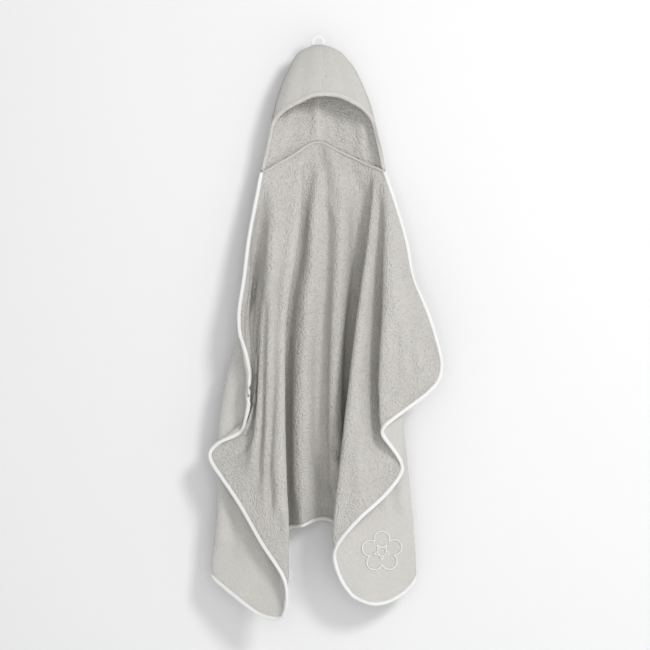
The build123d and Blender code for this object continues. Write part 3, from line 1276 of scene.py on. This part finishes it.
@dataclass
class Hood:
    """Two panels, the turned hem of the face opening and the neck seam."""

    panel: "BodyPanel"
    hem_wide: float = 9.0
    hem_thick: float = 6.4
    seam_wide: float = 5.0
    seam_thick: float = 4.2
    seam_lift: float = 1.2
    middle_wide: float = 4.4
    middle_thick: float = 4.3
    stitch_inset: float = 2.6
    hem_drop: float = 1.2
    overlock_slant: float = 0.35
    middle_x: float = 3.0
    halves: list = field(default_factory=list)

    def neck_row(self) -> list[Vector]:
        """Picks out the sheet's neck edge.

        Returns:
            Its points from the left to the right, in millimetres.
        """
        row = [
            (flat[0], point / MM)
            for flat, point in zip(self.panel.flat_points, self.panel.sheet_points)
            if flat[1] < 1 and abs(flat[0]) <= self.panel.cut.neck / 2 + 1
        ]
        return [point for _, point in sorted(row, key=lambda item: item[0])]

    def build(self) -> None:
        """Makes the hood's pieces."""
        row = self.neck_row()
        middle = min(range(len(row)), key=lambda i: abs(row[i].x - self.middle_x))
        parts = (
            (Side.LEFT, LEFT_RIM, row[: middle + 1]),
            (Side.RIGHT, RIGHT_RIM, row[: middle - 1 : -1]),
        )
        for side, rim, neck in parts:
            half = HoodPanel(side, rim, neck)
            piece = half.build()
            whole = half.area()
            LOG.info("%s hood panel area %.4f", side.value, whole)
            min(whole, half.flat[0] * half.flat[1])
            self.halves.append(half)
        self.hem()
        self.seam(row)
        self.middle_seam()

    def hem(self) -> None:
        """The face opening's turned hem with its row of stitches."""
        left, right = (half.rim_frames for half in self.halves)
        frames = left[::-1] + right[1:]
        rings, places = [], []
        for centre, up, out in frames:
            middle = centre + up * (self.hem_wide / 2 - self.hem_drop) * MM
            rings.append((middle, up * self.hem_wide / 2 * MM, out * self.hem_thick / 2 * MM))
        band = tube("hood_hem_band", rings, oval(14, 3.2), SHEARED.make())
        finish_piece(band, "terry", "hood_hem")
        line = [
            centre + up * (self.hem_wide - self.stitch_inset) * MM + out * self.hem_thick / 2 * MM
            for centre, up, out in frames
        ]
        for k, share, along in along_line(line, HEM_STITCH.pitch):
            out = frames[k][2].lerp(frames[k + 1][2], share)
            places.append((line[k].lerp(line[k + 1], share), along, out))
        sewn = stitches("hood_hem_stitches", places, HEM_STITCH, GREY_THREAD.make())
        finish_piece(sewn, "terry")

    def middle_seam(self) -> None:
        """The flat seam that joins the two panels, from the face opening over to the neck."""
        for name, line in zip(("front", "back"), self.halves[0].middles):
            rings = []
            for i, (centre, out) in enumerate(line):
                along = heading([place for place, _ in line], i)
                out = square_to(out, along)
                side = along.cross(out) * self.middle_wide / 2 * MM
                rings.append((centre, side, out * (self.middle_thick / 2) * MM))
            ridge = tube(f"hood_{name}_seam", rings, oval(12, 2.4), SHEARED.make())
            finish_piece(ridge, "terry")

    def seam(self, row: list[Vector]) -> None:
        """Makes the overlocked ridge where the hood meets the body.

        Args:
            row: the sheet's neck edge, in millimetres.
        """
        rings, places = [], []
        points = [point * MM for point in row]
        for i, point in enumerate(points):
            along = heading(points, i)
            out = square_to(Vector((0, -1, 0)), along)
            up = along.cross(out)
            middle = point + out * self.seam_lift * MM
            rings.append((middle, up * self.seam_wide / 2 * MM, out * self.seam_thick / 2 * MM))
        ridge = tube("neck_seam_ridge", rings, oval(12), GREY_THREAD.make())
        finish_piece(ridge, "seam_thread", "neck_seam")
        for k, share, along in along_line(points, OVERLOCK_STITCH.pitch):
            centre, up, out = (rings[k][i].lerp(rings[k + 1][i], share) for i in range(3))
            slant = (up.normalized() + along * self.overlock_slant).normalized()
            places.append((centre + out, slant, out))
        sewn = stitches("neck_seam_overlock", places, OVERLOCK_STITCH, GREY_THREAD.make())
        finish_piece(sewn, "seam_thread")


# ---------------------------------------------------------------- tape, loop and trims


@dataclass
class EdgeBinding:
    """The white tape folded over the body panel's free edge."""

    panel: "BodyPanel"
    wide: float = 7.0
    thick: float = 6.0
    overlap: float = 2.6
    closer: int = 3
    smoothings: int = 2
    stitch_inset: float = 1.3
    stitch_sink: float = 0.15

    def frames(self) -> list:
        """Follows the free edge from the left end of the neck seam round to the right.

        Returns:
            For each place, its centre, the way out of the cloth and the way it faces.
        """
        edge = {}
        faces_at = {}
        for face in self.panel.faces:
            for one, two in zip(face, face[1:] + face[:1]):
                key = (min(one, two), max(one, two))
                edge[key] = edge.get(key, 0) + 1
                faces_at.setdefault(one, []).append(face)
        follow = {}
        for (one, two), count in edge.items():
            if count == 1:
                follow.setdefault(one, []).append(two)
                follow.setdefault(two, []).append(one)
        neck = self.panel.neck_points()
        start = min((i for i in follow if neck[i]), key=lambda i: self.panel.flat_points[i][0])
        loop = [start]
        now = next(i for i in follow[start] if not neck[i])
        while not neck[now]:
            loop.append(now)
            now = next(i for i in follow[now] if i != loop[-2])
        loop.append(now)
        points = [self.panel.sheet_points[i] for i in loop]
        for _ in range(self.smoothings):
            points[1:-1] = [(a + b * 2 + c) / 4 for a, b, c in zip(points, points[1:], points[2:])]
        frames = []
        for k, index in enumerate(loop):
            along = heading(points, k)
            inner = [p for face in faces_at[index] for p in face if p not in follow]
            up = square_to(self.panel.normals[index], along)
            out = along.cross(up).normalized()
            if inner:
                middle = sum((self.panel.sheet_points[p] for p in inner), Vector()) / len(inner)
                out = out if out.dot(points[k] - middle) > 0 else -out
            frames.append([points[k], out, up])
        return self.closer_frames(frames)

    def closer_frames(self, frames: list) -> list:
        """Adds smooth frames between those of the sheet's own points.

        Args:
            frames: the frames at those points.

        Returns:
            All the frames in order.
        """
        marks = lengths_along([frame[0] for frame in frames])
        columns = [[frame[i] for frame in frames] for i in range(3)]
        for column in columns[1:]:
            for _ in range(2 * self.smoothings):
                column[1:-1] = [
                    (a + b * 2 + c).normalized() for a, b, c in zip(column, column[1:], column[2:])
                ]
        found = []
        for k in range(len(frames) - 1):
            for step in range(self.closer):
                at = marks[k] + (marks[k + 1] - marks[k]) * step / self.closer
                centre, out, up = (smooth_line(marks, column, at) for column in columns)
                out.normalize()
                found.append((centre, out, square_to(up, out)))
        last = frames[-1]
        found.append((last[0], columns[1][-1], columns[2][-1]))
        return found

    def build(self) -> None:
        """Makes the tape and the two rows of stitches, one on each face."""
        frames = self.frames()
        rings = []
        for centre, out, up in frames:
            middle = centre + out * (self.wide / 2 - self.overlap) * MM
            rings.append((middle, out * self.wide / 2 * MM, up * self.thick / 2 * MM))
        tape = tube("edge_binding_tape", rings, oval(14, 2.8), WHITE_TAPE.make())
        finish_piece(tape, "white_tape", "edge_binding")
        places = []
        for way in (1, -1):
            line = [
                centre - out * (self.overlap - self.stitch_inset) * MM
                + up * way * (self.thick / 2 - self.stitch_sink) * MM
                for centre, out, up in frames
            ]
            for k, share, along in along_line(line, BINDING_STITCH.pitch):
                up = frames[k][2].lerp(frames[k + 1][2], share) * way
                places.append((line[k].lerp(line[k + 1], share), along, up))
        sewn = stitches("edge_binding_stitches", places, BINDING_STITCH, WHITE_THREAD.make())
        finish_piece(sewn, "white_tape")


@dataclass
class HangingLoop:
    """The white tape loop at the tip of the hood."""

    radius: float = 9.25
    tape_wide: float = 6.5
    tape_thick: float = 2.4
    top: float = 3.25
    leg_end: float = -27.0
    leg_steps: int = 5
    turn_steps: int = 24
    tack_rows: tuple[float, ...] = (-9.0, -11.5)
    tack_stitches: int = 4
    tack_lift: float = 0.1

    def build(self) -> None:
        """Makes the loop and the tack that holds its legs."""
        turn_z = self.top - self.radius
        rise = (turn_z - self.leg_end) / self.leg_steps
        path = []
        for k in range(self.leg_steps):
            place = Vector((-self.radius, 0, self.leg_end + rise * k))
            path.append((place, Vector((-1, 0, 0))))
        for k in range(self.turn_steps + 1):
            angle = math.pi * k / self.turn_steps
            out = Vector((-math.cos(angle), 0, math.sin(angle)))
            path.append((Vector((0, 0, turn_z)) + out * self.radius, out))
        for k in range(1, self.leg_steps + 1):
            path.append((Vector((self.radius, 0, turn_z - rise * k)), Vector((1, 0, 0))))
        rings = [
            (point * MM, out * self.tape_wide / 2 * MM, Vector((0, -self.tape_thick / 2 * MM, 0)))
            for point, out in path
        ]
        tape = tube("hanging_loop_tape", rings, oval(12, 3.5), WHITE_TAPE.make())
        finish_piece(tape, "white_tape", "hanging_loop")
        places = []
        for way in (-1, 1):
            for row in self.tack_rows:
                for k in range(self.tack_stitches):
                    off = (k - (self.tack_stitches - 1) / 2) * TACK_STITCH.pitch / MM
                    x = way * self.radius + off
                    place = Vector((x, -self.tape_thick / 2 - self.tack_lift, row)) * MM
                    places.append((place, Vector((1, 0, 0)), Vector((0, -1, 0))))
        sewn = stitches("hanging_loop_tack", places, TACK_STITCH, WHITE_THREAD.make())
        finish_piece(sewn, "white_tape")


@dataclass
class FlowerMotif:
    """A five-petalled flower outline in satin stitch on the lobe's outside."""

    panel: "BodyPanel"
    petals: int = 5
    petal_radius: float = 14.0
    reach: float = 23.0
    eye: float = 8.0
    line: float = 3.2
    spacing: float = 0.7
    clear: float = 1.5
    stitch_wide: float = 2.2
    eye_gap: float = 2.0
    sight: float = 0.3

    def build(self) -> None:
        """Lays satin stitches along the outlines of the petals and the eye."""
        low, high = (Vector(corner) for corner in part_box("flower_motif"))
        middle = (low + high) / 2
        tree = BVHTree.FromPolygons(self.panel.sheet_points, self.panel.faces)
        places = []
        for outline in self.outlines():
            count = len(outline)
            for k in range(count):
                here, ahead = outline[k], outline[(k + 1) % count]
                spot = self.on_cloth(tree, middle, here)
                if spot is None:
                    continue
                along = Vector((ahead[0] - here[0], 0, ahead[1] - here[1])).normalized()
                across = along.cross(spot[1]).normalized()
                places.append((spot[0] + spot[1] * self.clear * MM, across, spot[1]))
        LOG.info("flower stitches %d", len(places))
        pitch = self.spacing * MM
        satin = Stitch(pitch, self.line * MM, self.spacing * self.stitch_wide * MM)
        sewn = stitches("flower_motif_satin", places, satin, WHITE_THREAD.make())
        finish_piece(sewn, "white_thread", "flower_motif")

    def outlines(self) -> list:
        """Draws the petals' outer arcs and the eye's ring.

        Returns:
            Each outline's places about the flower's middle, in millimetres.
        """
        found = []
        for petal in range(self.petals):
            lean = math.pi / 2 + 2 * math.pi * petal / self.petals
            centre = (self.reach * math.cos(lean), self.reach * math.sin(lean))
            arc = []
            count = round(2 * math.pi * self.petal_radius / self.spacing)
            for k in range(count):
                angle = lean + 2 * math.pi * k / count + math.pi
                x = centre[0] + self.petal_radius * math.cos(angle)
                y = centre[1] + self.petal_radius * math.sin(angle)
                turn = (math.atan2(y, x) - lean + math.pi) % (2 * math.pi) - math.pi
                if abs(turn) < math.pi / self.petals and math.hypot(x, y) > self.eye + self.eye_gap:
                    arc.append((x, y))
            found.append(arc)
        count = round(2 * math.pi * self.eye / self.spacing)
        angles = [2 * math.pi * k / count for k in range(count)]
        found.append([(self.eye * math.cos(a), self.eye * math.sin(a)) for a in angles])
        return found

    def on_cloth(self, tree: BVHTree, middle: Vector, spot: tuple) -> tuple | None:
        """Finds the place on the lobe's outside behind a spot of the drawing.

        Args:
            tree: the sheet.
            middle: the flower's middle.
            spot: the spot, in millimetres about it.

        Returns:
            The place and the way it faces, or None where there is no cloth.
        """
        start = Vector((middle.x + spot[0] * MM, -self.sight, middle.z + spot[1] * MM))
        hit, normal, _, _ = tree.ray_cast(start, Vector((0, 1, 0)))
        if hit is None:
            return None
        normal = normal if normal.y < 0 else -normal
        return hit + normal * self.panel.cloth / 2 * MM, normal


@dataclass
class CareLabel:
    """A blank woven label caught in the side of the left lobe."""

    panel: "BodyPanel"
    wide: float = 12.0
    long: float = 22.0
    thick: float = 0.6
    middle_z: float = -970.0
    caught: float = 5.0
    curl: float = 1.6
    curl_turn: float = 2.4
    lobe_x: float = -0.03

    def build(self) -> None:
        """Makes the label."""
        bm = bmesh.new()
        bmesh.ops.create_grid(bm, x_segments=6, y_segments=10, size=0.5)
        layer = bm.loops.layers.uv.new("flat")
        for face in bm.faces:
            for loop in face.loops:
                loop[layer].uv = (loop.vert.co.x * self.wide * MM, loop.vert.co.y * self.long * MM)
        level = self.middle_z * MM
        side = [
            point for point in self.panel.sheet_points
            if point.x < self.lobe_x and abs(point.z - level) < self.long / 2 * MM
        ]
        fold = max(side, key=lambda point: point.x)
        start = Vector((fold.x / MM - self.caught, fold.y / MM, self.middle_z))
        for vert in bm.verts:
            x = (vert.co.x + 0.5) * self.wide
            curl = self.curl * math.sin(x / self.wide * self.curl_turn)
            vert.co = (start + Vector((x, curl, vert.co.y * self.long))) * MM
        label = to_object("care_label_tape", bm, [LABEL_SATIN.make()])
        add_modifier(label, "SOLIDIFY", thickness=self.thick * MM, offset=0.0)
        add_modifier(label, "SUBSURF", levels=1, render_levels=1)
        finish_piece(label, "label_satin", "care_label")


# ---------------------------------------------------------------- the room


@dataclass
class Studio:
    """A pale wall and floor, soft lights and the camera."""

    wall_y: float = 0.052
    floor_z: float = -1.35
    middle: Point = (0.0127, 0.0, -0.521)
    view_height: float = 1.183
    distance: float = 4.2
    sensor: float = 36.0
    paint: Colour = (0.875, 0.875, 0.88)
    sky: float = 0.42
    stage_half: float = 4.0

    def plane(self, name: str, turn: Matrix, finish: StudioFinish) -> None:
        """Makes a large flat stage surface.

        Args:
            name: its name.
            turn: the matrix that turns and places it.
            finish: its paint.
        """
        bm = bmesh.new()
        bmesh.ops.create_grid(bm, x_segments=1, y_segments=1, size=self.stage_half)
        bmesh.ops.transform(bm, matrix=turn, verts=bm.verts[:])
        to_object(name, bm, [finish.make()], smooth=False)

    def light(self, name: str, place: Point, size: float, power: float) -> None:
        """Makes a soft square light that faces the towel.

        Args:
            name: its name.
            place: where it stands.
            size: the length of its side.
            power: its power in watts.
        """
        data = bpy.data.lights.new(name, "AREA")
        data.energy = power
        data.size = size
        made = bpy.data.objects.new(name, data)
        made.location = place
        aim = Vector(self.middle) - made.location
        made.rotation_euler = aim.to_track_quat("-Z", "Y").to_euler()
        bpy.context.scene.collection.objects.link(made)

    def camera(self) -> None:
        """A long lens square to the wall, level with the middle of the towel."""
        data = bpy.data.cameras.new("camera")
        data.sensor_width = self.sensor
        data.lens = self.sensor * self.distance / self.view_height
        made = bpy.data.objects.new("camera", data)
        made.location = Vector(self.middle) + Vector((0, -self.distance, 0))
        made.rotation_euler = (math.pi / 2, 0, 0)
        bpy.context.scene.collection.objects.link(made)
        bpy.context.scene.camera = made

    def build(self) -> None:
        """Makes the stage, lights and camera."""
        upright = Matrix.Translation((0, self.wall_y, 0)) @ Matrix.Rotation(math.pi / 2, 4, "X")
        flat = Matrix.Translation((0, 0, self.floor_z))
        self.plane("wall", upright, StudioFinish("wall_paint", self.paint, True))
        self.plane("floor", flat, StudioFinish("floor_paint", self.paint, False))
        world = bpy.data.worlds.new("studio")
        world.use_nodes = True
        sky = world.node_tree.nodes["Background"]
        sky.inputs["Color"].default_value = (1, 1, 1, 1)
        sky.inputs["Strength"].default_value = self.sky
        bpy.context.scene.world = world
        bpy.context.scene.view_settings.view_transform = "Standard"
        self.light("key", (1.75, -2.9, 1.05), 0.8, 60.0)
        self.light("fill", (0.1, -3.6, -0.3), 2.2, 26.0)
        self.camera()


def main() -> None:
    """Builds the towel piece by piece."""
    logging.basicConfig(level=logging.INFO)
    Studio().build()
    panel = BodyPanel()
    cloth = panel.build()
    panel.cut.area()
    Hood(panel).build()
    EdgeBinding(panel).build()
    HangingLoop().build()
    FlowerMotif(panel).build()
    CareLabel(panel).build()


if __name__ == "__main__":
    main()
